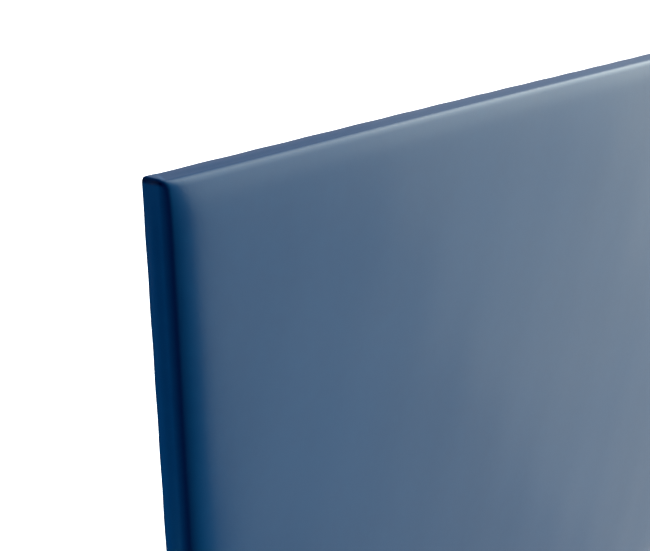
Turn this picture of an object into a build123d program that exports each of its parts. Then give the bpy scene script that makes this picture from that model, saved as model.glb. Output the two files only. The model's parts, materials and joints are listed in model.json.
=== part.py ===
from build123d import *
from math import sqrt
import os

# Wall punch pad: two layers of foam on a plywood board, inside a vinyl cover. Six short clips on its
# back hook over two wall rails. The hooks slope at 45 degrees, so the pad lifts off up and outwards.
#
# Frame: the wall's face is the plane y = 0 and the pad faces -Y. The origin is the middle of the wall
# screw holes, which is behind the middle of the pad. Lengths are in mm. Depths are measured out from the
# wall, so a depth d is y = -d.

# Pad
PAD_WIDTH = 2000
PAD_HEIGHT = 1000
WALL_GAP = 12           # free space between the wall and the back of the pad
VINYL = 1.0             # thickness of the cover
BOARD = 12
SHOCK_FOAM = 15
STRIKE_FOAM = 11
CORNER_R = 8            # the four corners, seen from the front
EDGE_R = 6              # where the front turns into the sides
BACK_EDGE_R = 0.8       # where the sides turn onto the back
HEM = 40                # width of the vinyl that is turned onto the back of the board
FILL_GAP = 0.3          # between the cover's sides and what it holds
FILL_EXTRA_R = 0.5      # the foam is rounded by this much more than the inside of the cover
VENT_R = 8              # breather holes in the board
VENT_SPACING_X = 450
VENT_SPACING_Z = 300

# Hanging cleats: wall rails and clips share one section, and a clip is a rail turned upside down
CLEAT = 3               # wall thickness of the section
CLEAT_FLANGE = 34       # height of the flat that is screwed on
LIP_REACH = 11          # how far the sloping lip stands out from the back of the flat
LIP_GAP = 0.05          # between the two sloping faces, square to them
TIP_R = 0.5             # on the end of the lip
FLAT_TO_HOLE = 17       # from the top of the flat to its screw holes
RAIL_LENGTH = 1800
WALL_HOLE_HEIGHTS = {"lower": -300, "upper": 300}
WALL_HOLE_PITCH = 400
WALL_HOLE_COUNT = 5
WALL_HOLE_R = 3.25
CLIP_LENGTH = 150
CLIP_MIDDLES = {"left": -700, "centre": 0, "right": 700}
CLIP_HOLE_SPACING = 100
CLIP_HOLE_R = 3.3

# M6 button-head clip screws, with split washers and T-nuts
SCREW_R = 2.95
SCREW_LENGTH = 16
HEAD_R = 5.25
HEAD_HEIGHT = 3.3
HEAD_RIM = 0.8          # straight part of the head, below its dome
SOCKET_ACROSS_FLATS = 4
SOCKET_DEPTH = 2
WASHER = 1.6
WASHER_R = 5.9
WASHER_BORE_R = 3.1
WASHER_SLIT = 1.0
NUT_FLANGE = 1.5
NUT_FLANGE_R = 9.5
NUT_BARREL = 9
NUT_BARREL_R = 3.9
NUT_BORE_R = 3.0
PRONG_CIRCLE_R = 7.5
PRONG_THICK = 1.2
PRONG_WIDE = 3
PRONG_LONG = 6
NUT_FIT = 0.05          # between a T-nut and its hole in the board

# Rubber wall bumpers and their 4 x 16 wood screws
BUMPER_R = 14
BUMPER_NOSE_R = 12      # at the wall
BUMPER_ROUND = 1.5
BUMPER_INSET = 60       # from the pad's edges to the corner bumpers
MIDDLE_BUMPER_PITCH = 600
RECESS_R = 5
RECESS_DEPTH = 5.5
BUMPER_HOLE_R = 2.2
WOOD_SCREW_R = 1.9
WOOD_SCREW_LENGTH = 16
WOOD_SCREW_POINT = 3
WOOD_HEAD_R = 4
WOOD_HEAD = 2.6
PILOT_R = 2.0

# Staples through the hem
STAPLE_CROWN = 12.8
STAPLE_LEG = 10
WIRE_WIDE = 0.95
WIRE_THICK = 0.65
STAPLE_INSET = 20       # from the pad's edges to the rows of staples
STAPLE_PITCH = 80
ROW_REACH = 12          # staples each side of the middle one, along the top and bottom
COLUMN_REACH = 5        # staples each side of the middle one, up the sides

# Depths of the layers
BOARD_BACK = WALL_GAP + VINYL
BOARD_FRONT = BOARD_BACK + BOARD
SHOCK_FRONT = BOARD_FRONT + SHOCK_FOAM
STRIKE_FRONT = SHOCK_FRONT + STRIKE_FOAM
COVER_FRONT = STRIKE_FRONT + VINYL
SCREW_SEAT = BOARD_BACK - CLEAT - WASHER

# Heights above a rail's wall holes
RAIL_CORNER_RISE = FLAT_TO_HOLE
CLIP_CORNER_RISE = RAIL_CORNER_RISE + BOARD_BACK + LIP_GAP * sqrt(2)
CLIP_HOLE_RISE = CLIP_CORNER_RISE + FLAT_TO_HOLE

FILL_INSET = VINYL + FILL_GAP
FILL_CORNER_R = CORNER_R - VINYL + FILL_EXTRA_R
FILL_EDGE_R = EDGE_R - VINYL + FILL_EXTRA_R


def at_depth(depth):
    """The plane parallel to the wall at a depth. Sketch x is x, sketch y is z, extrusions grow outwards."""
    return Plane.XZ.offset(depth)


def pad_outline(inset, corner_r):
    """The pad's outline, seen from the front, drawn in the sketch that is open."""
    RectangleRounded(PAD_WIDTH - 2 * inset, PAD_HEIGHT - 2 * inset, corner_r)


def clip_holes(middle, wall_hole_height):
    """The sketch places of one clip's two screws."""
    height = wall_hole_height + CLIP_HOLE_RISE
    return [(middle - CLIP_HOLE_SPACING / 2, height), (middle + CLIP_HOLE_SPACING / 2, height)]


def in_space(sketch_places, depth):
    """Sketch places as points at a depth."""
    return [(x, -depth, z) for x, z in sketch_places]


def finish(builder, name):
    """Label a piece and write it."""
    builder.part.label = name
    export_step(builder.part, f"parts/{name}.step")


CLIP_SCREW_PLACES = [
    place
    for wall_hole_height in WALL_HOLE_HEIGHTS.values()
    for middle in CLIP_MIDDLES.values()
    for place in clip_holes(middle, wall_hole_height)
]

CORNER_BUMPER_PLACES = [
    (side * (PAD_WIDTH / 2 - BUMPER_INSET), level * (PAD_HEIGHT / 2 - BUMPER_INSET))
    for side in (-1, 1)
    for level in (-1, 1)
]
MIDDLE_BUMPER_PLACES = [(x, 0) for x in (-MIDDLE_BUMPER_PITCH, 0, MIDDLE_BUMPER_PITCH)]
BUMPER_PLACES = CORNER_BUMPER_PLACES + MIDDLE_BUMPER_PLACES

os.makedirs("parts", exist_ok=True)

# The space inside the cover
with BuildPart() as cover_inside:
    with BuildSketch(at_depth(BOARD_BACK)):
        pad_outline(VINYL, CORNER_R - VINYL)
    extrude(amount=STRIKE_FRONT - BOARD_BACK)
    fillet(cover_inside.faces().sort_by(Axis.Y).first.edges(), EDGE_R - VINYL)

# Cover: a vinyl skin over the front and the sides, turned onto the back as a flat hem
with BuildPart() as cover:
    with BuildSketch(at_depth(WALL_GAP)):
        pad_outline(0, CORNER_R)
    extrude(amount=COVER_FRONT - WALL_GAP)
    fillet(cover.faces().sort_by(Axis.Y).first.edges(), EDGE_R)
    fillet(cover.faces().sort_by(Axis.Y).last.edges(), BACK_EDGE_R)
    add(cover_inside.part, mode=Mode.SUBTRACT)
    with BuildSketch(at_depth(WALL_GAP)):
        pad_outline(HEM, CORNER_R)
    extrude(amount=VINYL, mode=Mode.SUBTRACT)
finish(cover, "cover")

# Strike foam: the soft layer under the front
with BuildPart() as strike_foam:
    with BuildSketch(at_depth(SHOCK_FRONT)):
        pad_outline(FILL_INSET, FILL_CORNER_R)
    extrude(amount=STRIKE_FOAM)
    fillet(strike_foam.faces().sort_by(Axis.Y).first.edges(), FILL_EDGE_R)
finish(strike_foam, "strike_foam")

# Shock foam: the firm layer on the board
with BuildPart() as shock_foam:
    with BuildSketch(at_depth(BOARD_FRONT)):
        pad_outline(FILL_INSET, FILL_CORNER_R)
    extrude(amount=SHOCK_FOAM)
finish(shock_foam, "shock_foam")

# T-nut: a flange with four prongs and a threaded barrel, the flange's front at the origin
with BuildPart() as tee_nut:
    with BuildSketch(at_depth(0)):
        Circle(NUT_FLANGE_R)
    extrude(amount=-NUT_FLANGE)
    with BuildSketch(at_depth(-NUT_FLANGE)):
        Circle(NUT_BARREL_R)
    extrude(amount=-NUT_BARREL)
    with BuildSketch(at_depth(-NUT_FLANGE)):
        with PolarLocations(PRONG_CIRCLE_R, 4):
            Rectangle(PRONG_THICK, PRONG_WIDE)
    extrude(amount=-PRONG_LONG)
    with BuildSketch(at_depth(0)):
        Circle(NUT_BORE_R)
    extrude(amount=-(NUT_FLANGE + NUT_BARREL), mode=Mode.SUBTRACT)

with BuildPart() as tee_nuts:
    with Locations(*in_space(CLIP_SCREW_PLACES, BOARD_FRONT)):
        add(tee_nut.part)
finish(tee_nuts, "tee_nuts")

# Backing board: plywood with breather holes, T-nut seats and pilot holes for the bumper screws
with BuildPart() as backing_board:
    with BuildSketch(at_depth(BOARD_BACK)):
        pad_outline(FILL_INSET, FILL_CORNER_R)
        with GridLocations(VENT_SPACING_X, VENT_SPACING_Z, 4, 2):
            Circle(VENT_R, mode=Mode.SUBTRACT)
        with Locations(*CLIP_SCREW_PLACES):
            Circle(NUT_BARREL_R + NUT_FIT, mode=Mode.SUBTRACT)
    extrude(amount=BOARD)
    with BuildSketch(at_depth(BOARD_FRONT)):
        with Locations(*CLIP_SCREW_PLACES):
            Circle(NUT_FLANGE_R + NUT_FIT)
    extrude(amount=-NUT_FLANGE, mode=Mode.SUBTRACT)
    with BuildSketch(at_depth(BOARD_FRONT - NUT_FLANGE)):
        with Locations(*CLIP_SCREW_PLACES):
            with PolarLocations(PRONG_CIRCLE_R, 4):
                Rectangle(PRONG_THICK + 2 * NUT_FIT, PRONG_WIDE + 2 * NUT_FIT)
    extrude(amount=-(PRONG_LONG + NUT_FIT), mode=Mode.SUBTRACT)
    with BuildSketch(at_depth(BOARD_BACK)):
        with Locations(*BUMPER_PLACES):
            Circle(PILOT_R)
    extrude(amount=RECESS_DEPTH + WOOD_SCREW_LENGTH - BOARD_BACK, mode=Mode.SUBTRACT)
finish(backing_board, "backing_board")

# Staple: a flat-wire staple, its crown along x, the underside of the crown at the origin
with BuildPart() as staple:
    with BuildSketch(Plane.XY.offset(-WIRE_WIDE / 2)):
        with Locations((0, WIRE_THICK / 2)):
            Rectangle(STAPLE_CROWN, WIRE_THICK)
        with GridLocations(STAPLE_CROWN - WIRE_THICK, 0, 2, 1):
            Rectangle(WIRE_THICK, STAPLE_LEG, align=(Align.CENTER, Align.MAX))
    extrude(amount=WIRE_WIDE)

ROW_Z = PAD_HEIGHT / 2 - STAPLE_INSET
COLUMN_X = PAD_WIDTH / 2 - STAPLE_INSET
ROW_XS = [index * STAPLE_PITCH for index in range(-ROW_REACH, ROW_REACH + 1)]
COLUMN_ZS = [index * STAPLE_PITCH for index in range(-COLUMN_REACH, COLUMN_REACH + 1)]
ROW_PLACES = [Location((x, -WALL_GAP, side * ROW_Z)) for x in ROW_XS for side in (-1, 1)]
COLUMN_PLACES = [
    Location((side * COLUMN_X, -WALL_GAP, z), (0, 90, 0)) for z in COLUMN_ZS for side in (-1, 1)
]

with BuildPart() as cover_staples:
    with Locations(*ROW_PLACES, *COLUMN_PLACES):
        add(staple.part)
finish(cover_staples, "cover_staples")


def cleat_section():
    """The cleat's section, drawn in the sketch that is open: out to the right, the lip upwards."""
    slope_drop = CLEAT * sqrt(2)
    bend = (CLEAT, CLEAT - slope_drop)
    tip = [(LIP_REACH, LIP_REACH - slope_drop), (LIP_REACH, LIP_REACH)]
    Polygon((0, 0), (0, -CLEAT_FLANGE), (CLEAT, -CLEAT_FLANGE), bend, *tip, align=None)


def cleat_plane(end_x, depth, height, outward):
    """The plane of a cleat's right-hand end. Its x points out of the wall, or into it for a clip."""
    return Plane(origin=(end_x, -depth, height), x_dir=(0, -outward, 0), z_dir=(-1, 0, 0))


# Wall rails: a long cleat with its lip upwards, screwed flat to the wall
for level, wall_hole_height in WALL_HOLE_HEIGHTS.items():
    rail_corner = wall_hole_height + RAIL_CORNER_RISE
    with BuildPart() as wall_rail:
        with BuildSketch(cleat_plane(RAIL_LENGTH / 2, 0, rail_corner, 1)):
            cleat_section()
        extrude(amount=RAIL_LENGTH)
        fillet(wall_rail.edges().filter_by(Axis.X).sort_by(Axis.Z)[-2:], TIP_R)
        with BuildSketch(at_depth(0)):
            with Locations((0, wall_hole_height)):
                with GridLocations(WALL_HOLE_PITCH, 0, WALL_HOLE_COUNT, 1):
                    Circle(WALL_HOLE_R)
        extrude(amount=CLEAT, mode=Mode.SUBTRACT)
    finish(wall_rail, f"{level}_wall_rail")

# Clips: short cleats on the back of the board, turned over so that their lips hook into the rails
for level, wall_hole_height in WALL_HOLE_HEIGHTS.items():
    clip_corner = wall_hole_height + CLIP_CORNER_RISE
    for side, middle in CLIP_MIDDLES.items():
        with BuildPart() as clip:
            with BuildSketch(cleat_plane(middle + CLIP_LENGTH / 2, BOARD_BACK, clip_corner, -1)):
                cleat_section()
            extrude(amount=CLIP_LENGTH)
            fillet(clip.edges().filter_by(Axis.X).sort_by(Axis.Z)[:2], TIP_R)
            with BuildSketch(at_depth(BOARD_BACK - CLEAT)):
                with Locations(*clip_holes(middle, wall_hole_height)):
                    Circle(CLIP_HOLE_R)
            extrude(amount=CLEAT, mode=Mode.SUBTRACT)
        finish(clip, f"{level}_{side}_clip")

# Clip screw: a button head with a hex socket, the underside of the head at the origin, head towards +y
with BuildPart() as clip_screw:
    with BuildSketch(Plane.XY):
        with BuildLine():
            Polyline(
                (0, HEAD_HEIGHT),
                (0, -SCREW_LENGTH),
                (SCREW_R, -SCREW_LENGTH),
                (SCREW_R, 0),
                (HEAD_R, 0),
                (HEAD_R, HEAD_RIM),
            )
            TangentArc((0, HEAD_HEIGHT), (HEAD_R, HEAD_RIM), tangent=(1, 0))
        make_face()
    revolve(axis=Axis.Y)
    with BuildSketch(at_depth(-HEAD_HEIGHT)):
        RegularPolygon(SOCKET_ACROSS_FLATS / 2, 6, major_radius=False)
    extrude(amount=SOCKET_DEPTH, mode=Mode.SUBTRACT)

with BuildPart() as clip_screws:
    with Locations(*in_space(CLIP_SCREW_PLACES, SCREW_SEAT)):
        add(clip_screw.part)
finish(clip_screws, "clip_screws")

# Lock washer: a ring with a slit, its outer face at the origin
with BuildPart() as lock_washer:
    with BuildSketch(at_depth(0)):
        Circle(WASHER_R)
        Circle(WASHER_BORE_R, mode=Mode.SUBTRACT)
        Rectangle(WASHER_SLIT, WASHER_R, align=(Align.CENTER, Align.MIN), mode=Mode.SUBTRACT)
    extrude(amount=WASHER)

with BuildPart() as clip_lock_washers:
    with Locations(*in_space(CLIP_SCREW_PLACES, SCREW_SEAT)):
        add(lock_washer.part)
finish(clip_lock_washers, "clip_lock_washers")

# Wall bumper: a rubber disc that tapers towards the wall, with a recess for its screw
with BuildPart() as wall_bumper:
    with BuildSketch(Plane.XY):
        with BuildLine():
            Polyline(
                (BUMPER_HOLE_R, -BOARD_BACK),
                (BUMPER_R, -BOARD_BACK),
                (BUMPER_NOSE_R, 0),
                (RECESS_R, 0),
                (RECESS_R, -RECESS_DEPTH),
                (BUMPER_HOLE_R, -RECESS_DEPTH),
                close=True,
            )
        make_face()
    revolve(axis=Axis.Y)
    fillet(wall_bumper.edges().group_by(Axis.Y)[-1].sort_by(SortBy.RADIUS).last, BUMPER_ROUND)

with BuildPart() as wall_bumpers:
    with Locations(*in_space(BUMPER_PLACES, 0)):
        add(wall_bumper.part)
finish(wall_bumpers, "wall_bumpers")

# Bumper screw: a pan-head wood screw, the underside of the head at the origin, head towards +y
with BuildPart() as bumper_screw:
    with BuildSketch(Plane.XY):
        with BuildLine():
            Polyline(
                (0, WOOD_HEAD),
                (0, -WOOD_SCREW_LENGTH),
                (WOOD_SCREW_R, WOOD_SCREW_POINT - WOOD_SCREW_LENGTH),
                (WOOD_SCREW_R, 0),
                (WOOD_HEAD_R, 0),
                (WOOD_HEAD_R, WOOD_HEAD),
                close=True,
            )
        make_face()
    revolve(axis=Axis.Y)
    fillet(bumper_screw.edges().group_by(Axis.Y)[-1], WOOD_HEAD / 2)

with BuildPart() as bumper_screws:
    with Locations(*in_space(BUMPER_PLACES, RECESS_DEPTH)):
        add(bumper_screw.part)
finish(bumper_screws, "bumper_screws")
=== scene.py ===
import json
import math

import bpy
import numpy as np
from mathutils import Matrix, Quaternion, Vector


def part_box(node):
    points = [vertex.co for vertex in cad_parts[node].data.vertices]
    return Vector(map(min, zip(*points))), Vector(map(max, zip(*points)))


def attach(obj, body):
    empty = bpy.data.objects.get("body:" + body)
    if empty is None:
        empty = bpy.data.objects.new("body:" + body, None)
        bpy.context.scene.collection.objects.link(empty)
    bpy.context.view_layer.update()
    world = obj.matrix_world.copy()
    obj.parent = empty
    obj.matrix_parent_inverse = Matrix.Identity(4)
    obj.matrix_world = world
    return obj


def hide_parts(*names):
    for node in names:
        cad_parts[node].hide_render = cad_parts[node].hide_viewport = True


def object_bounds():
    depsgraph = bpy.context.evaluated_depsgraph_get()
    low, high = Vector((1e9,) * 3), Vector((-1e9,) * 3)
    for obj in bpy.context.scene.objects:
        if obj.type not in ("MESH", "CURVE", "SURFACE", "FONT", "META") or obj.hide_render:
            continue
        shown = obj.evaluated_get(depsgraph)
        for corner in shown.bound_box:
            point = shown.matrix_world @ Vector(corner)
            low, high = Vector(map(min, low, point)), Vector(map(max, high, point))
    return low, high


# Wall punch pad. The vinyl cover and the two layers of foam are made here as soft goods, on the sizes of the
# CAD parts that they replace. The board, clips, rails and fixings keep their CAD meshes and get materials.

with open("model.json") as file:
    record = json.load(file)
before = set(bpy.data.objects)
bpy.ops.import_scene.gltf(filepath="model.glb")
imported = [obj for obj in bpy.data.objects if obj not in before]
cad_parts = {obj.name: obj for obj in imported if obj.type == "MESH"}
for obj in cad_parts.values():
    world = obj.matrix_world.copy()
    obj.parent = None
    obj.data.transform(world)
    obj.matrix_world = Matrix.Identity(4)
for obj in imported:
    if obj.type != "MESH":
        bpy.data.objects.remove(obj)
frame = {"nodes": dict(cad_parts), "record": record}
cad_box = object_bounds()

# ---------------------------------------------------------------------------------------------
# Sizes, in metres. x runs along the pad, z up it, and a depth d is y = -d, out from the wall.
# ---------------------------------------------------------------------------------------------
PAD_LOW, PAD_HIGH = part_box("cover")
BOARD_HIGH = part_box("backing_board")[1]
STRIKE_LOW, STRIKE_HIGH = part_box("strike_foam")
SHOCK_LOW, SHOCK_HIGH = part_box("shock_foam")
WIDTH = PAD_HIGH.x - PAD_LOW.x
HEIGHT = PAD_HIGH.z - PAD_LOW.z
HEM_DEPTH = -PAD_HIGH.y
FRONT_DEPTH = -PAD_LOW.y
VINYL = -BOARD_HIGH.y - HEM_DEPTH
FOAM_INSET = (WIDTH - (STRIKE_HIGH.x - STRIKE_LOW.x)) / 2
TINY = 1e-6              # a length too small to matter

# Outline and edges of the cover
EDGE_DROP = 0.0050       # how far the front's edges are pulled back behind the CAD front
EDGE_DEPTH = FRONT_DEPTH - EDGE_DROP
EDGE_R = 0.0068          # the rounding from the sides to the front
CORNER_R = 0.0045        # the four corners, seen from the front
CORNER_FADE = 0.018      # over this distance inwards the rounded corners turn square
BACK_R = 0.0016          # the rounding from the sides to the hem
HEM = 0.040              # width of the vinyl turned onto the back
HEM_CORNER_R = 0.002
HEM_CLOSE_UP = 0.12      # over this distance from the corners the hem's points close up as it narrows

# Swelling of the front
CROWN = 0.0072           # how far the front swells beyond its edges
CROWN_REACH = 0.020      # how far in from the edges most of that swelling is reached
REACH_BAND = 0.004       # points this close to that distance are taken to be at it
CORNER_REACH = 0.12      # over this distance from a corner the cover is drawn in by both edges alike
HOLD_MARGIN = 0.0002     # all that lies this far behind the flat of the front is held while it swells
FOAM_WAVES = 0.00022     # faint unevenness of the foam under the vinyl
# Share, length, direction and phase of each wave in it
WAVES = [(1.0, 0.43, 0.4, 0.3), (1.0, 0.31, 2.1, 1.9), (0.7, 0.19, 1.2, 4.0), (0.5, 0.13, 2.8, 2.2)]
WAVES_START, WAVES_FULL = 0.01, 0.08    # distances in from the edges

# Sides and hem
SHORT_SIDE_FALL = 0.0025    # how much further the front falls away at its short sides
FALL_REACH = 0.010          # how far in from them that fall reaches
SIDE_SWELL = 0.0010         # how far the sides swell between the front and the back
LONG_SIDE_BOW = 0.0008      # how far the long sides bow outwards between their corners and their middle
BOW_FADE = 0.06             # over this distance inwards the bow dies away
CLEAR_START, CLEAR_FULL = 0.01, 0.06    # distances from a corner where swell and puckers begin and are full
STAPLE_PITCH = 0.080
PUCKER = 0.0005             # the vinyl stands proud by this much between staples
PUCKER_FADE = 0.014         # how far up the sides the puckers reach
PUCKER_HEM_RATE = 2         # how fast the puckers die away across the hem

# Folds at the corners. They lie on the top and bottom, and their crease slants to the front's corners.
PLEAT = 0.0008              # height of the folded layers
PLEAT_FRONT = 0.006         # from the corner to the crease, at the front
PLEAT_SPREAD = 0.012        # how much further that is at the back
PLEAT_EDGE = 0.0020         # width of the step down from the layers
GROOVE = 0.0014             # half width of the groove beside the step
GROOVE_SHARE = 0.6          # its depth, as a share of the layers' height
PLEAT_RISE, PLEAT_FALL = (-0.1, 0.15), (0.8, 1.0)   # where they come and go, from 0 at the back to 1
TUCK = 0.0014               # depth of the fold tucked in along the corner, on the short sides
TUCK_PLACE = 0.0030         # its distance from the corner
TUCK_WIDTH = 0.0010
TUCK_RISE, TUCK_FALL = (0.05, 0.25), (0.4, 1.0)     # where it comes and goes, in the same way
PAINTED_FOLD_SHADE = 0.85                # how dark the shade painted into the tucked folds is
PAINTED_SHADE_EDGE = 0.001          # how far in from the short sides that painted shade is full
PAINTED_SHADE_REACH = 0.006         # how far from the corners it reaches
MITRE_STEP = 0.0025         # width of the step where the hem's layers meet
MITRE_FADE = 0.02           # over this distance from the mitre the layers thin out
MITRE_RISE = 6              # the layers are at full height from one part in this of the hem's width inwards

# ---------------------------------------------------------------------------------------------
# Studio and camera
# ---------------------------------------------------------------------------------------------
FLOOR_HALF = 60.0           # half its width
FLOOR_DROP = 0.001          # how far it lies below the pad
FLOOR_GLOW = 0.8
STUDIO_BASE = (0.003, 0.013, 0.125)
STUDIO_TINT = (1.0, 1.05, 0.93)
STUDIO_LEVEL = 6.15
# Level towards the right, by the direction's x
ACROSS_STOPS = [
    (-1.0, 0.0),
    (0.43, 0.0),
    (0.61, 0.74),
    (0.738, 0.72),
    (0.772, 0.96),
    (0.86, 0.86),
    (0.88, 1.02),
    (0.93, 0.66),
    (1.0, 0.1),
]
# Level round the pad's long axis, by degrees up from the front
AROUND_STOPS = [
    (-180, 0.05),
    (-60, 0.16),
    (-28, 0.27),
    (-17, 0.32),
    (0, 0.50),
    (35, 0.66),
    (85, 0.76),
    (105, 0.45),
    (132, 0.085),
    (180, 0.055),
]
# Level behind the pad, by the direction's y
BEHIND_STOPS = [(-1.0, 0.0), (0.90, 0.0), (0.98, 0.7), (1.0, 0.8)]
SUN_SPREAD = 20             # how wide the sun looks, in degrees
CAMERA_UNIT = 0.0366        # close to the thickness that the pad shows at its edges
CAMERA_PLACE = (-17.87, -21.57, 7.12)   # from the front's top left corner, in that unit
CAMERA_ANGLES = (48.02, 19.27, -0.61)   # turn to the right, tilt down and roll, in degrees
CAMERA_LENS = 61.3
CAMERA_SIGHT = 200          # how far it sees


# ---------------------------------------------------------------------------------------------
# Grids and meshes
# ---------------------------------------------------------------------------------------------
def edge_offsets(length):
    """Offsets from one edge to the middle of a side: a fan round the edge, then growing steps."""
    fan_steps, first_step, growth, widest_step = 6, 0.002, 1.18, 0.013
    offsets = [EDGE_R * (1 - math.cos(math.pi / 2 * k / fan_steps)) for k in range(fan_steps + 1)]
    step = first_step
    while step < widest_step:
        offsets.append(offsets[-1] + step)
        step *= growth
    rest = length / 2 - offsets[-1]
    count = round(rest / widest_step)
    offsets += [offsets[-1] + rest * (k + 1) / count for k in range(count)]
    return np.array(offsets)


def grid_lines(length):
    """Grid lines across a side, symmetric about its middle."""
    left_half = edge_offsets(length) - length / 2
    return np.concatenate([left_half, -left_half[-2::-1]])


def edge_distances(x, z):
    """Distances in from the nearer short side and from the nearer long side."""
    return WIDTH / 2 - np.abs(x), HEIGHT / 2 - np.abs(z)


def rounded(x, z, width, height, radius):
    """Moves points of a rectangle onto concentric rounded rectangles, whose corners turn square inwards."""
    from_side = width / 2 - np.abs(x)
    from_end = height / 2 - np.abs(z)
    along = np.abs(from_side - from_end)
    r = radius * np.exp(-np.minimum(from_side, from_end) / CORNER_FADE)
    on_arc = along < r
    turn = math.pi / 4 * (1 - along / np.maximum(r, 1e-9))
    across_move = np.where(on_arc, r - r * np.cos(turn), 0.0)
    along_move = np.where(on_arc, (r - along) - r * np.sin(turn), 0.0)
    on_side = from_side < from_end
    move_x = np.where(on_side, across_move, along_move)
    move_z = np.where(on_side, along_move, across_move)
    return x - np.sign(x) * move_x, z - np.sign(z) * move_z


def border_at(x, z, inset, radius):
    """The border's points moved inwards by an inset, evenly closed up near the corners."""
    from_side, from_end = edge_distances(x, z)
    on_side = from_side < from_end
    along = np.abs(from_side - from_end)
    along = along - inset * np.minimum(along / HEM_CLOSE_UP, 1.0)
    new_side = np.where(on_side, inset, inset + along)
    new_end = np.where(on_side, inset + along, inset)
    new_x = np.sign(x) * (WIDTH / 2 - new_side)
    new_z = np.sign(z) * (HEIGHT / 2 - new_end)
    return rounded(new_x, new_z, WIDTH - 2 * inset, HEIGHT - 2 * inset, radius)


def border_loop(nx, nz):
    """Grid indices (i along x, j along z) round the border, anticlockwise seen from the front."""
    loop = [(i, 0) for i in range(nx)]
    loop += [(nx - 1, j) for j in range(1, nz)]
    loop += [(i, nz - 1) for i in range(nx - 2, -1, -1)]
    loop += [(0, j) for j in range(nz - 2, 0, -1)]
    return loop


def grid_quads(nx, nz, start=0):
    """Quads of a grid of points, facing the front."""
    corners = [start + j * nx + i for j in range(nz - 1) for i in range(nx - 1)]
    return [(k, k + 1, k + nx + 1, k + nx) for k in corners]


def ring_quads(front_ring, back_ring):
    """Quads between two rings of the border, facing outwards."""
    count = len(front_ring)
    return [
        (front_ring[(k + 1) % count], front_ring[k], back_ring[k], back_ring[(k + 1) % count])
        for k in range(count)
    ]


def new_object(name, vertices, quads):
    """A smooth-shaded mesh object in the scene."""
    mesh = bpy.data.meshes.new(name)
    mesh.from_pydata([tuple(v) for v in vertices], [], quads)
    mesh.update()
    for polygon in mesh.polygons:
        polygon.use_smooth = True
    obj = bpy.data.objects.new(name, mesh)
    bpy.context.scene.collection.objects.link(obj)
    return obj


def positions(obj):
    """The object's points as rows of x, y and z."""
    flat = np.empty(len(obj.data.vertices) * 3)
    obj.data.vertices.foreach_get("co", flat)
    return flat.reshape(-1, 3)


def set_positions(obj, points):
    obj.data.vertices.foreach_set("co", points.astype(np.float32).ravel())
    obj.data.update()


def smooth_step(value, start, end):
    """0 before the start and 1 past the end, with a smooth rise between them."""
    t = np.clip((value - start) / (end - start), 0.0, 1.0)
    return t * t * (3 - 2 * t)


def ridge(value, middle, half_width):
    """1 at the middle, dying away on both sides."""
    return np.exp(-(((value - middle) / half_width) ** 2))


# ---------------------------------------------------------------------------------------------
# Cover: one sheet of vinyl over the front and the sides, turned onto the back
# ---------------------------------------------------------------------------------------------
GRID_X, GRID_Z = grid_lines(WIDTH), grid_lines(HEIGHT)
NX, NZ = len(GRID_X), len(GRID_Z)
FRONT_COUNT = NX * NZ
LOOP = border_loop(NX, NZ)
BORDER_X = np.array([GRID_X[i] for i, j in LOOP])
BORDER_Z = np.array([GRID_Z[j] for i, j in LOOP])
FRONT_RING = [j * NX + i for i, j in LOOP]


def front_grid():
    """Grid points of the front at rest: flat, with rounded edges and corners."""
    x, z = np.meshgrid(GRID_X, GRID_Z)
    inset = np.minimum(*edge_distances(x, z))
    short_of_flat = np.clip(EDGE_R - inset, 0, EDGE_R)
    depth = EDGE_DEPTH - EDGE_R + np.sqrt(EDGE_R**2 - short_of_flat**2)
    round_x, round_z = rounded(x, z, WIDTH, HEIGHT, CORNER_R)
    return np.stack([round_x, -depth, round_z], axis=-1).reshape(-1, 3)


def cover_rings():
    """(inset, depth, corner radius) of each ring behind the front grid, down the sides and onto the back."""
    side_steps, back_steps, hem_steps = 14, 3, 10
    side_front, side_back = EDGE_DEPTH - EDGE_R, HEM_DEPTH + BACK_R
    rings = []
    for k in range(1, side_steps + 1):
        rings.append((0.0, side_front + (side_back - side_front) * k / side_steps, CORNER_R))
    for k in range(1, back_steps + 1):
        turn = math.pi / 2 * k / back_steps
        inset = BACK_R * (1 - math.cos(turn))
        rings.append((inset, HEM_DEPTH + BACK_R * (1 - math.sin(turn)), CORNER_R))
    for k in range(1, hem_steps + 1):
        share = k / hem_steps
        inset = BACK_R + (HEM - BACK_R) * share
        rings.append((inset, HEM_DEPTH, CORNER_R + (HEM_CORNER_R - CORNER_R) * share))
    return rings


def make_cover():
    """The sheet at rest, before it is blown out."""
    points, quads = [front_grid()], grid_quads(NX, NZ)
    front_ring = FRONT_RING
    start = FRONT_COUNT
    for inset, depth, radius in cover_rings():
        x, z = border_at(BORDER_X, BORDER_Z, inset, radius)
        points.append(np.stack([x, np.full_like(x, -depth), z], axis=-1))
        back_ring = list(range(start, start + len(LOOP)))
        quads += ring_quads(front_ring, back_ring)
        front_ring = back_ring
        start += len(LOOP)
    return new_object("vinyl_cover", np.concatenate(points), quads)


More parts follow.
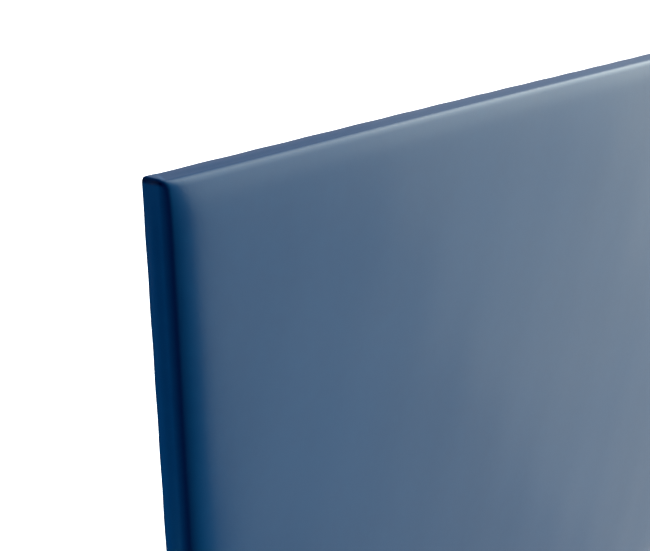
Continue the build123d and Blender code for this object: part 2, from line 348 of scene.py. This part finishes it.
def inflate(obj, held_depth):
    """Blows the front out by cloth simulation, held by its sides, and returns how far each point moved."""
    rest = positions(obj)
    held = [int(k) for k in np.nonzero(-rest[:, 1] < held_depth)[0]]
    group = obj.vertex_groups.new(name="held")
    group.add(held, 1.0, "REPLACE")
    cloth = obj.modifiers.new("Cloth", "CLOTH")
    settings = cloth.settings
    settings.quality = 5
    settings.mass = 0.5
    settings.tension_stiffness = 40
    settings.compression_stiffness = 40
    settings.shear_stiffness = 15
    settings.bending_stiffness = 2
    settings.use_pressure = True
    settings.uniform_pressure_force = 4
    settings.vertex_group_mass = "held"
    settings.effector_weights.gravity = 0
    cloth.collision_settings.use_collision = False
    cloth.collision_settings.use_self_collision = False
    last_frame = 20
    cloth.point_cache.frame_start = 1
    cloth.point_cache.frame_end = last_frame
    for step in range(1, last_frame + 1):
        bpy.context.scene.frame_set(step)
    evaluated = obj.evaluated_get(bpy.context.evaluated_depsgraph_get())
    flat = np.empty(len(rest) * 3)
    evaluated.data.vertices.foreach_get("co", flat)
    obj.modifiers.remove(cloth)
    obj.vertex_groups.remove(group)
    bpy.context.scene.frame_set(1)
    return rest[:, 1] - flat.reshape(-1, 3)[:, 1]


def crown(obj):
    """Swells the front: steep near the edges and level in the middle, as foam stops a tight cover."""
    points = positions(obj)
    from_side, from_end = edge_distances(points[:, 0], points[:, 2])
    inset = np.minimum(from_side, from_end)
    is_front = np.arange(len(points)) < FRONT_COUNT
    near_reach = is_front & (np.abs(inset - CROWN_REACH) < REACH_BAND)
    out = np.maximum(inflate(obj, EDGE_DEPTH - HOLD_MARGIN), 0.0)
    slope = out[near_reach].mean() / (CROWN_REACH - EDGE_R)
    out += slope * np.clip(inset, 0.0, EDGE_R)
    pressed = 1 - np.exp(-out / out[near_reach].mean())
    drawn = (1 - np.exp(-from_side / CROWN_REACH)) * (1 - np.exp(-from_end / CROWN_REACH))
    near_corner = np.exp(-np.hypot(from_side, from_end) / CORNER_REACH)
    swell = pressed + (drawn - pressed) * near_corner
    points[:, 1] -= np.where(is_front, CROWN * swell, 0.0)
    set_positions(obj, points)


class Places:
    """Where the cover's points lie: which of its faces they are on, and how far from its edges."""

    def __init__(self, points):
        self.x, self.z = points[:, 0], points[:, 2]
        self.from_side, self.from_end = edge_distances(self.x, self.z)
        self.inset = np.minimum(self.from_side, self.from_end)
        self.corner_distance = np.abs(self.from_side - self.from_end)
        self.from_back = -points[:, 1] - HEM_DEPTH
        self.side_share = np.clip(self.from_back / (EDGE_DEPTH - EDGE_R - HEM_DEPTH), 0.0, 1.0)
        self.is_front = np.arange(len(points)) < FRONT_COUNT
        self.is_side = ~self.is_front & (self.inset < BACK_R + TINY)
        self.is_hem = ~self.is_front & ~self.is_side
        self.by_short_side = self.from_side < self.from_end


def wave(at, length, turn, phase):
    along = at.x * math.cos(turn) + at.z * math.sin(turn)
    return np.sin(2 * math.pi * along / length + phase)


def foam_unevenness(at):
    """Long low waves on the front, none at its edges."""
    total = sum(share * wave(at, length, turn, phase) for share, length, turn, phase in WAVES)
    level = smooth_step(at.inset, WAVES_START, WAVES_FULL)
    return np.where(at.is_front, FOAM_WAVES * total * level, 0.0)


def puckers(at):
    """The vinyl stands proud between staples, but not at the corners."""
    along_edge = np.where(at.by_short_side, at.z, at.x)
    between_staples = 0.5 - 0.5 * np.cos(2 * math.pi * along_edge / STAPLE_PITCH)
    return PUCKER * between_staples * smooth_step(at.corner_distance, CLEAR_START, CLEAR_FULL)


def pleats(at):
    """The folded layers at the corners, with a groove beside them. They fade at the front and the back."""
    crease = PLEAT_FRONT + PLEAT_SPREAD * (1 - at.side_share)
    step_start = crease - 0.4 * PLEAT_EDGE
    folded = 1 - smooth_step(at.corner_distance, step_start, step_start + PLEAT_EDGE)
    groove = GROOVE_SHARE * ridge(at.corner_distance, crease + GROOVE, GROOVE)
    fade = smooth_step(at.side_share, *PLEAT_RISE) * (1 - smooth_step(at.side_share, *PLEAT_FALL))
    return np.where(at.by_short_side, 0.0, PLEAT * (folded - groove) * fade)


def tuck(at):
    """The groove of the fold that is tucked in along each corner, on the short sides."""
    fade = smooth_step(at.side_share, *TUCK_RISE) * (1 - smooth_step(at.side_share, *TUCK_FALL))
    groove = TUCK * ridge(at.corner_distance, TUCK_PLACE, TUCK_WIDTH) * fade
    return np.where(at.by_short_side, groove, 0.0)


def side_bulge(at):
    """How far the sides stand out."""
    clear_of_corner = smooth_step(at.corner_distance, CLEAR_START, CLEAR_FULL)
    swell = SIDE_SWELL * np.sin(math.pi * at.side_share) ** 2 * clear_of_corner
    puckered = puckers(at) * np.exp(-at.from_back / PUCKER_FADE)
    return np.where(at.is_side, swell + puckered + pleats(at) - tuck(at), 0.0)


def hem_rise(at):
    """How far the hem stands off the board: puckers between the staples, and layers at the mitres."""
    share = np.clip((at.inset - BACK_R) / (HEM - BACK_R), 0.0, 1.0)
    bulge = puckers(at) * np.exp(-share * PUCKER_HEM_RATE)
    step_start = -0.2 * MITRE_STEP
    layered = smooth_step(at.from_side - at.from_end, step_start, step_start + MITRE_STEP)
    mitre = PLEAT * layered * np.exp(-at.corner_distance / MITRE_FADE)
    return np.where(at.is_hem, bulge + mitre * np.minimum(1.0, share * MITRE_RISE), 0.0)


def dress_cover(obj):
    """Shapes the blown-out cover: uneven foam, fallen short sides, puckers, folded corners and the hem."""
    points = positions(obj)
    at = Places(points.copy())
    fall = SHORT_SIDE_FALL * np.exp(-at.from_side / FALL_REACH) * np.where(at.is_front, 1.0, at.side_share)
    bulge = side_bulge(at)
    bow = LONG_SIDE_BOW * np.sin(2 * math.pi * at.x / WIDTH) ** 2
    bow *= 1 - smooth_step(at.inset, 0.0, BOW_FADE)
    points[:, 0] += np.where(at.by_short_side, np.sign(at.x) * bulge, 0.0)
    points[:, 1] += fall + hem_rise(at) - foam_unevenness(at)
    points[:, 2] += np.where(at.by_short_side, 0.0, np.sign(at.z) * (bulge + bow))
    set_positions(obj, points)


def finish_cover(obj):
    """Smooths the sheet and gives it its thickness, inwards."""
    smooth = obj.modifiers.new("Smooth", "SUBSURF")
    smooth.levels = 1
    smooth.render_levels = 1
    thick = obj.modifiers.new("Vinyl", "SOLIDIFY")
    thick.thickness = VINYL
    thick.offset = -1


# ---------------------------------------------------------------------------------------------
# Foam: two slabs under the cover
# ---------------------------------------------------------------------------------------------
def make_slab(name, front_depths, back_depth):
    """A closed slab on the cover's grid: front points at given depths, a flat back and cut sides."""
    x, z = np.meshgrid(GRID_X, GRID_Z)
    round_x, round_z = rounded(x, z, WIDTH, HEIGHT, CORNER_R)
    round_x = round_x * (WIDTH - 2 * FOAM_INSET) / WIDTH
    round_z = round_z * (HEIGHT - 2 * FOAM_INSET) / HEIGHT
    front = np.stack([round_x, -front_depths.reshape(NZ, NX), round_z], axis=-1).reshape(-1, 3)
    back = front.copy()
    back[:, 1] = -back_depth
    edge = front[FRONT_RING]
    points, quads = [front], grid_quads(NX, NZ)
    front_ring = FRONT_RING
    start = FRONT_COUNT
    side_steps = 4
    for k in range(1, side_steps):
        share = k / side_steps
        ring_points = edge.copy()
        ring_points[:, 1] = edge[:, 1] * (1 - share) - back_depth * share
        points.append(ring_points)
        ring = list(range(start, start + len(LOOP)))
        quads += ring_quads(front_ring, ring)
        front_ring = ring
        start += len(LOOP)
    points.append(back)
    quads += ring_quads(front_ring, [start + k for k in FRONT_RING])
    quads += [tuple(reversed(quad)) for quad in grid_quads(NX, NZ, start)]
    return new_object(name, np.concatenate(points), quads)


# ---------------------------------------------------------------------------------------------
# Node trees
# ---------------------------------------------------------------------------------------------
def is_socket(value):
    return isinstance(value, bpy.types.NodeSocket)


class Nodes:
    """A node tree, with short ways to add to it. An input is given a value or another node's output."""

    def __init__(self, tree):
        self.tree = tree

    def add(self, kind, **settings):
        node = self.tree.nodes.new(kind)
        for key, value in settings.items():
            setattr(node, key, value)
        return node

    def link(self, source, target):
        self.tree.links.new(source, target)

    def feed(self, socket, value):
        if is_socket(value):
            self.link(value, socket)
        else:
            socket.default_value = value

    def feed_colour(self, socket, value):
        self.feed(socket, value if is_socket(value) else (*value, 1))

    def remap(self, value, low, high, to_low, to_high):
        node = self.add("ShaderNodeMapRange")
        self.link(value, node.inputs["Value"])
        node.inputs["From Min"].default_value = low
        node.inputs["From Max"].default_value = high
        node.inputs["To Min"].default_value = to_low
        node.inputs["To Max"].default_value = to_high
        return node.outputs["Result"]

    def maths(self, operation, first, second=0.0):
        node = self.add("ShaderNodeMath", operation=operation)
        self.feed(node.inputs[0], first)
        self.feed(node.inputs[1], second)
        return node.outputs["Value"]

    def mix(self, share, first, second):
        node = self.add("ShaderNodeMix", data_type="RGBA")
        self.feed(node.inputs["Factor"], share)
        self.feed_colour(node.inputs["A"], first)
        self.feed_colour(node.inputs["B"], second)
        return node.outputs["Result"]

    def ramp(self, value, low, high, stops):
        """Levels along a value between two limits, smoothed between the stops."""
        node = self.add("ShaderNodeValToRGB")
        self.link(self.remap(value, low, high, 0.0, 1.0), node.inputs["Fac"])
        node.color_ramp.interpolation = "EASE"
        elements = node.color_ramp.elements
        while len(elements) < len(stops):
            elements.new(0.5)
        for element, (place, level) in zip(elements, stops):
            element.position = (place - low) / (high - low)
            element.color = (level, level, level, 1)
        return node.outputs["Color"]


class Surface(Nodes):
    """A material's node tree, with a Principled shader and object coordinates in metres."""

    def __init__(self, name):
        self.material = bpy.data.materials.new(name)
        self.material.use_nodes = True
        super().__init__(self.material.node_tree)
        self.shader = self.tree.nodes["Principled BSDF"]
        self.place = self.add("ShaderNodeTexCoord").outputs["Object"]

    def stretch(self, scale):
        """Object coordinates scaled along each axis."""
        node = self.add("ShaderNodeMapping")
        node.inputs["Scale"].default_value = scale
        self.link(self.place, node.inputs["Vector"])
        return node.outputs["Vector"]

    def noise(self, scale, detail=4.0, roughness=0.5, distortion=0.0, place=None):
        node = self.add("ShaderNodeTexNoise")
        self.link(place or self.place, node.inputs["Vector"])
        node.inputs["Scale"].default_value = scale
        node.inputs["Detail"].default_value = detail
        node.inputs["Roughness"].default_value = roughness
        node.inputs["Distortion"].default_value = distortion
        return node.outputs["Fac"]

    def cells(self, scale, feature="F1", place=None, output="Distance"):
        node = self.add("ShaderNodeTexVoronoi", feature=feature)
        self.link(place or self.place, node.inputs["Vector"])
        node.inputs["Scale"].default_value = scale
        return node.outputs[output]

    def bump(self, height, distance, strength=1.0, under=None):
        node = self.add("ShaderNodeBump")
        self.link(height, node.inputs["Height"])
        node.inputs["Distance"].default_value = distance
        node.inputs["Strength"].default_value = strength
        if under is not None:
            self.link(under, node.inputs["Normal"])
        return node.outputs["Normal"]

    def finish(self, colour, roughness, normal=None, metallic=0.0, **others):
        """Feeds the shader and returns the material."""
        self.feed_colour(self.shader.inputs["Base Color"], colour)
        self.feed(self.shader.inputs["Roughness"], roughness)
        self.feed(self.shader.inputs["Metallic"], metallic)
        for name, value in others.items():
            self.feed(self.shader.inputs[name.replace("_", " ")], value)
        if normal is not None:
            self.link(normal, self.shader.inputs["Normal"])
        return self.material


# ---------------------------------------------------------------------------------------------
# Materials
# ---------------------------------------------------------------------------------------------
def painted_fold_shade(n):
    """Mask of the painted shade in the tucked folds: 1 at the corners, on the short sides, and 0 elsewhere.
    """
    axes = n.add("ShaderNodeSeparateXYZ")
    n.link(n.place, axes.inputs["Vector"])
    from_middle = n.maths("ABSOLUTE", axes.outputs["X"])
    from_mid_height = n.maths("ABSOLUTE", axes.outputs["Z"])
    on_side = n.remap(from_middle, WIDTH / 2 - 2 * PAINTED_SHADE_EDGE, WIDTH / 2 - PAINTED_SHADE_EDGE, 0.0, 1.0)
    near_corner = n.remap(from_mid_height, HEIGHT / 2 - PAINTED_SHADE_REACH, HEIGHT / 2 - PAINTED_SHADE_REACH / 2, 0.0, 1.0)
    return n.maths("MULTIPLY", on_side, near_corner)


def vinyl_material():
    """Satin PVC-coated fabric: fine pressed grain, faint cloudiness, a few handling scuffs, and painted
    shade in the tucked folds at the corners.
    """
    n = Surface("vinyl")
    cloud = n.noise(3.5, 5.0, 0.55)
    mottle = n.noise(60, 3.0, 0.5)
    deep = n.mix(n.remap(cloud, 0.3, 0.7, 0.0, 1.0), (0.0002, 0.044, 0.124), (0.0004, 0.050, 0.138))
    mottled = n.mix(n.remap(mottle, 0.35, 0.75, 0.0, 0.25), deep, (0.001, 0.062, 0.155))
    # Painted shade: the blue is darkened towards near black in the tucked folds at the corners, where the
    # fold lies in shadow.
    colour = n.mix(n.maths("MULTIPLY", painted_fold_shade(n), PAINTED_FOLD_SHADE), mottled, (0.0, 0.004, 0.02))
    scratches = n.noise(9.0, 6.0, 0.65, 1.4, n.stretch((1.0, 1.0, 5.0)))
    scuff = n.remap(scratches, 0.70, 0.78, 0.0, 1.0)
    roughness = n.maths("ADD", n.remap(cloud, 0.3, 0.7, 0.30, 0.36), n.maths("MULTIPLY", scuff, 0.12))
    grain = n.cells(850)
    pores = n.noise(1600, 2.0, 0.5)
    height = n.maths("ADD", n.maths("MULTIPLY", grain, 0.7), n.maths("MULTIPLY", pores, 0.5))
    soft = n.bump(n.noise(25, 3.0, 0.5), 0.0006, 0.25)
    normal = n.bump(height, 0.00012, 0.35, soft)
    dimples = n.bump(n.noise(150, 3.0, 0.6), 0.0003, 0.5)
    return n.finish(
        colour,
        roughness,
        normal,
        Specular_IOR_Level=0.27,
        Coat_Weight=0.45,
        Coat_Roughness=0.08,
        Coat_Normal=dimples,
    )


def strike_foam_material():
    """Soft open-cell foam, cream, with its cut cells and painted shade down in their hollows."""
    n = Surface("strike_foam")
    cell = n.cells(420)
    tint = n.mix(n.noise(6), (0.74, 0.70, 0.56), (0.84, 0.81, 0.70))
    # Painted shade: the cream darkens towards the middle of each cut cell, where the bump makes a hollow.
    colour = n.mix(n.remap(cell, 0.0, 0.6, 0.35, 0.0), tint, (0.50, 0.45, 0.32))
    return n.finish(colour, 0.95, n.bump(cell, 0.0008, 0.7))


def shock_foam_material():
    """Firm foam pressed from chips of many greys, a few of them blue."""
    n = Surface("shock_foam")
    warped = n.stretch((1.0, 1.6, 1.0))
    chip_size = 95
    shade = n.add("ShaderNodeSeparateColor")
    n.link(n.cells(chip_size, "F1", warped, "Color"), shade.inputs["Color"])
    grey = n.mix(shade.outputs["Red"], (0.03, 0.033, 0.04), (0.16, 0.17, 0.20))
    colour = n.mix(n.remap(shade.outputs["Green"], 0.82, 0.95, 0.0, 1.0), grey, (0.08, 0.15, 0.32))
    seams = n.remap(n.cells(chip_size, "DISTANCE_TO_EDGE", warped), 0.0, 0.08, 0.0, 1.0)
    height = n.maths("ADD", seams, n.maths("MULTIPLY", n.noise(500, 3.0), 0.6))
    return n.finish(colour, 0.93, n.bump(height, 0.0007, 0.6))


def plywood_material():
    """Birch face veneer, its grain along the board, with fine pores and darker growth lines."""
    n = Surface("plywood")
    along = n.stretch((1.0, 12.0, 12.0))
    figure = n.noise(1.6, 5.0, 0.6, 1.8, n.stretch((0.35, 1.0, 3.2)))
    rings = n.maths("FRACT", n.maths("MULTIPLY", figure, 14.0))
    line = n.remap(n.maths("ABSOLUTE", n.maths("SUBTRACT", rings, 0.5)), 0.30, 0.5, 0.0, 1.0)
    fibre = n.noise(38, 6.0, 0.65, 0.3, along)
    pale = n.mix(n.remap(fibre, 0.3, 0.7, 0.0, 1.0), (0.50, 0.33, 0.165), (0.63, 0.45, 0.25))
    lined = n.mix(n.maths("MULTIPLY", line, 0.55), pale, (0.33, 0.185, 0.08))
    flame = n.noise(1.1, 2.0, 0.5)
    colour = n.mix(n.remap(flame, 0.35, 0.7, 0.0, 0.35), lined, (0.42, 0.26, 0.12))
    roughness = n.remap(fibre, 0.2, 0.8, 0.55, 0.75)
    return n.finish(colour, roughness, n.bump(fibre, 0.0003, 0.35))


def metal_material(name, colour, tarnish, roughness, line_height, line_scale=(1.0, 1.0, 1.0)):
    """Bare or plated metal: fine grain or lines, and cloudy tarnish."""
    n = Surface(name)
    lines = n.noise(900, 3.0, 0.6, 0.0, n.stretch(line_scale))
    cloud = n.noise(14, 5.0, 0.6)
    tone = n.mix(n.remap(cloud, 0.35, 0.75, 0.0, 1.0), colour, tarnish)
    line_roughness = n.remap(lines, 0.3, 0.7, roughness - 0.06, roughness + 0.08)
    return n.finish(tone, line_roughness, n.bump(lines, line_height, 0.4), metallic=1.0)


def aluminium_material():
    """Extruded, with lines drawn along x."""
    drawn_out = (0.02, 1.0, 1.0)
    return metal_material("aluminium", (0.78, 0.79, 0.80), (0.66, 0.67, 0.69), 0.34, 0.00004, drawn_out)


def zinc_material():
    """Zinc plate, slightly yellow."""
    return metal_material("zinc_steel", (0.66, 0.65, 0.60), (0.50, 0.50, 0.47), 0.38, 0.00003)


def staple_material():
    """Galvanised wire."""
    return metal_material("staple_steel", (0.62, 0.62, 0.60), (0.44, 0.44, 0.43), 0.30, 0.00002)


def rubber_material():
    """Black moulded rubber with a dusty bloom."""
    n = Surface("rubber")
    bloom = n.noise(160, 5.0, 0.6)
    colour = n.mix(n.remap(bloom, 0.45, 0.8, 0.0, 0.5), (0.018, 0.018, 0.019), (0.07, 0.068, 0.064))
    return n.finish(colour, n.remap(bloom, 0.3, 0.8, 0.6, 0.85), n.bump(n.noise(1400, 3.0), 0.0001, 0.5))


def dress(obj, material):
    """Puts one material on an object, in every slot that it has."""
    if not obj.data.materials:
        obj.data.materials.append(material)
    for slot in obj.material_slots:
        slot.material = material


# ---------------------------------------------------------------------------------------------
# The object
# ---------------------------------------------------------------------------------------------
def stand_for(obj, node, material):
    """Puts a soft piece on the pad in place of its CAD node."""
    dress(obj, material)
    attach(obj, "pad")
    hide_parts(node)


cover = make_cover()
crown(cover)
dress_cover(cover)
cover_front_depths = -positions(cover)[:FRONT_COUNT, 1]
finish_cover(cover)
stand_for(cover, "cover", vinyl_material())

soft_foam = make_slab("soft_foam_layer", cover_front_depths - FOAM_INSET, -STRIKE_HIGH.y)
stand_for(soft_foam, "strike_foam", strike_foam_material())

firm_foam = make_slab("firm_foam_layer", np.full(FRONT_COUNT, -SHOCK_LOW.y), -SHOCK_HIGH.y)
stand_for(firm_foam, "shock_foam", shock_foam_material())

finishes = {
    "plywood": plywood_material(),
    "aluminium": aluminium_material(),
    "zinc_steel": zinc_material(),
    "staple_steel": staple_material(),
    "rubber": rubber_material(),
}
for part in frame["record"]["subparts"]:
    if part["material_slot"] in finishes:
        dress(frame["nodes"][part["node"]], finishes[part["material_slot"]])


# ---------------------------------------------------------------------------------------------
# Stage, light and camera
# ---------------------------------------------------------------------------------------------
def make_floor():
    """A white floor that the camera sees, kept out of the pad's light so that the studio alone shapes it."""
    z = cad_box[0].z - FLOOR_DROP
    corners = [(-1, -1), (1, -1), (1, 1), (-1, 1)]
    floor = new_object("floor", [(x * FLOOR_HALF, y * FLOOR_HALF, z) for x, y in corners], [(0, 1, 2, 3)])
    n = Surface("floor")
    pale = n.mix(n.noise(0.7, 3.0), (0.90, 0.90, 0.90), (0.93, 0.93, 0.93))
    dress(floor, n.finish(pale, 0.7, Emission_Color=(1, 1, 1, 1), Emission_Strength=FLOOR_GLOW))
    floor.visible_glossy = False
    floor.visible_diffuse = False
    floor.visible_shadow = False


def make_world():
    """A studio that is dark to the pad's left and bright to its right, brightest up and in front.

    The camera itself sees plain white.
    """
    world = bpy.data.worlds.new("studio")
    world.use_nodes = True
    n = Nodes(world.node_tree)
    axes = n.add("ShaderNodeSeparateXYZ")
    n.link(n.add("ShaderNodeTexCoord").outputs["Generated"], axes.inputs["Vector"])
    to_front = n.maths("MULTIPLY", axes.outputs["Y"], -1.0)
    angle_up = n.maths("ARCTAN2", axes.outputs["Z"], to_front)
    around_stops = [(math.radians(angle), level) for angle, level in AROUND_STOPS]
    across = n.ramp(axes.outputs["X"], -1.0, 1.0, ACROSS_STOPS)
    around = n.ramp(angle_up, -math.pi, math.pi, around_stops)
    behind = n.ramp(axes.outputs["Y"], -1.0, 1.0, BEHIND_STOPS)
    before = n.maths("MULTIPLY", n.maths("MULTIPLY", across, around), STUDIO_LEVEL)
    tinted = n.add("ShaderNodeVectorMath", operation="SCALE")
    tinted.inputs[0].default_value = STUDIO_TINT
    n.link(n.maths("ADD", before, behind), tinted.inputs["Scale"])
    studio = n.add("ShaderNodeVectorMath", operation="ADD")
    n.link(tinted.outputs["Vector"], studio.inputs[0])
    studio.inputs[1].default_value = STUDIO_BASE
    is_camera = n.add("ShaderNodeLightPath").outputs["Is Camera Ray"]
    seen = n.mix(is_camera, studio.outputs["Vector"], (1, 1, 1))
    n.link(seen, n.tree.nodes["Background"].inputs["Color"])
    bpy.context.scene.world = world


def add_lamp(name, light, look, power, tint):
    """Puts a light in the scene, shining along a direction, and returns its object."""
    light.energy = power
    light.color = tint
    lamp = bpy.data.objects.new(name, light)
    lamp.rotation_euler = Vector(look).to_track_quat("-Z", "Y").to_euler()
    lamp.visible_glossy = False
    bpy.context.scene.collection.objects.link(lamp)
    return lamp


def add_sun(name, towards, strength, tint):
    light = bpy.data.lights.new(name, "SUN")
    light.angle = math.radians(SUN_SPREAD)
    add_lamp(name, light, -Vector(towards), strength, tint)


def add_panel(name, place, target, size, power, tint=(1, 1, 1)):
    """A rectangular light, aimed from its place at a target."""
    light = bpy.data.lights.new(name, "AREA")
    light.shape = "RECTANGLE"
    light.size, light.size_y = size
    lamp = add_lamp(name, light, Vector(target) - Vector(place), power, tint)
    lamp.location = place


def add_camera():
    """From the left, above and in front of the pad's top left corner."""
    corner = Vector((PAD_LOW.x, -(HEM_DEPTH + CAMERA_UNIT), PAD_HIGH.z))
    yaw, pitch, roll = (math.radians(angle) for angle in CAMERA_ANGLES)
    look = Vector((math.sin(yaw) * math.cos(pitch), math.cos(yaw) * math.cos(pitch), -math.sin(pitch)))
    camera = bpy.data.objects.new("camera", bpy.data.cameras.new("camera"))
    camera.data.lens = CAMERA_LENS
    camera.data.clip_end = CAMERA_SIGHT
    camera.location = corner + Vector(CAMERA_PLACE) * CAMERA_UNIT
    camera.rotation_mode = "QUATERNION"
    camera.rotation_quaternion = look.to_track_quat("-Z", "Y") @ Quaternion((0, 0, 1), roll)
    bpy.context.scene.collection.objects.link(camera)
    bpy.context.scene.camera = camera


make_floor()
make_world()
add_sun("key", towards=(0.88, -0.45, 0.15), strength=5.0, tint=(1.0, 1.0, 0.92))
add_panel(
    "left_fill",
    place=(-3.2, 1.4, -1.9),
    target=(-1.0, 0.0, 0.2),
    size=(1.2, 0.6),
    power=84,
    tint=(0.6, 1.0, 1.0),
)
add_panel("top_fill", place=(4.2, 1.0, 3.2), target=(0.0, 0.0, 0.4), size=(2.0, 1.6), power=330)
add_panel("back_fill", place=(-1.0, 3.6, 1.0), target=(0.0, 0.0, 0.0), size=(2.5, 1.5), power=90)
add_camera()
bpy.context.scene.view_settings.view_transform = "Standard"
